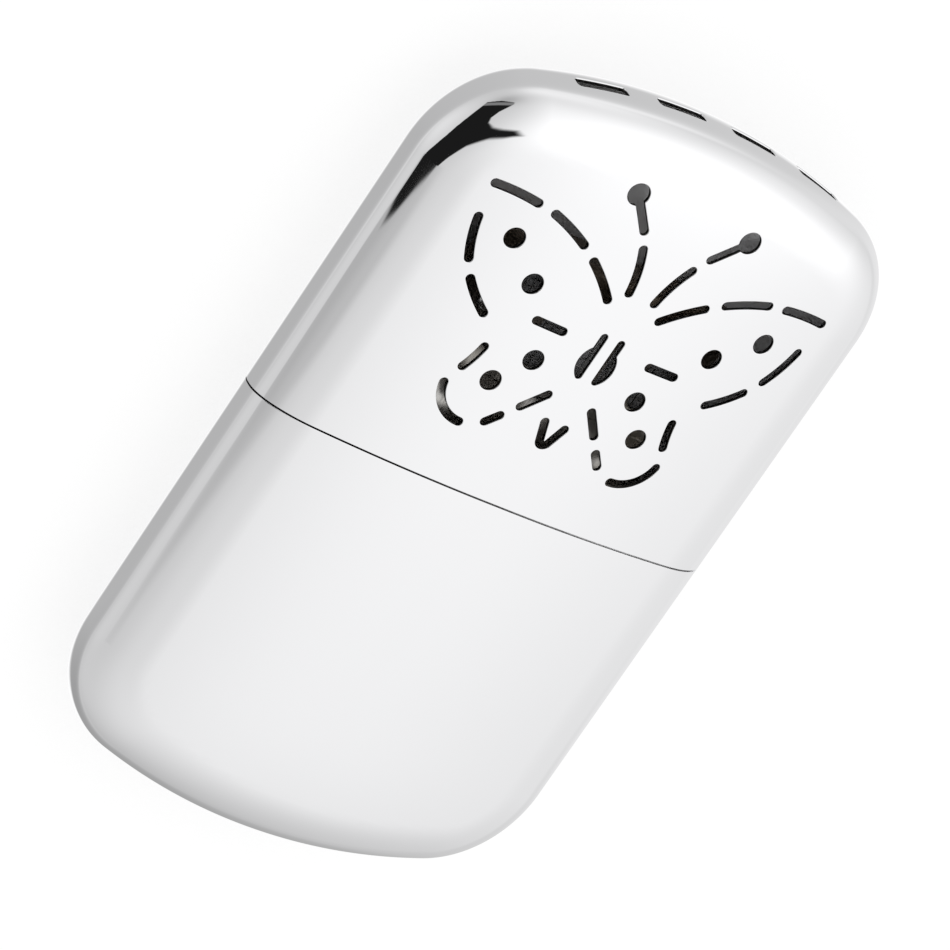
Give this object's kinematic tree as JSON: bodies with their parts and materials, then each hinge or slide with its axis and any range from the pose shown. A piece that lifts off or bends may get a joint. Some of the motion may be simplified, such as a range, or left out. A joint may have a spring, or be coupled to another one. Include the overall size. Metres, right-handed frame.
{
  "type": "catalytic hand warmer",
  "caption": "Slim pocket catalytic hand warmer: chromed fuel tank, lift-off burner over a filler neck, and a pull-off cap pierced with a butterfly vent figure.",
  "frame": {"origin": "under the middle of the back, on the surface that the warmer lies on", "axes": "+Y along the length towards the pierced cap, +X across the width to the right seen from the front, +Z out of the pierced front face"},
  "size_m": [0.067, 0.102, 0.0141],
  "materials": {
    "chrome_skin": "mirror-polished plating",
    "collar_plating": "satin plating",
    "white_felt": "dense felt",
    "cotton_wool": "loose cotton wadding",
    "burner_steel": "pressed stainless sheet",
    "gauze_steel": "wire gauze",
    "catalyst_fibre": "glass-fibre mat with catalyst",
    "rivet_steel": "headed rivet"
  },
  "bodies": {
    "tank": {"tank_shell": "chrome_skin", "neck_collar": "collar_plating", "tank_top_plate": "collar_plating", "filler_neck": "collar_plating", "neck_felt": "white_felt", "cotton_wadding": "cotton_wool"},
    "burner": {"burner_base": "burner_steel", "burner_front_shell": "burner_steel", "burner_rear_shell": "burner_steel", "burner_front_gauze": "gauze_steel", "burner_rear_gauze": "gauze_steel", "catalyst_mat": "catalyst_fibre", "burner_rivets": "rivet_steel"},
    "cap": {"cap_shell": "chrome_skin"}
  },
  "joints": [
    {"name": "cap_slide", "type": "slide", "parent": "tank", "child": "cap", "axis": [0, 1, 0], "range_m": [0, 0.06]},
    {"name": "burner_lift", "type": "slide", "parent": "tank", "child": "burner", "axis": [0, 1, 0], "range_m": [0, 0.014]}
  ]
}
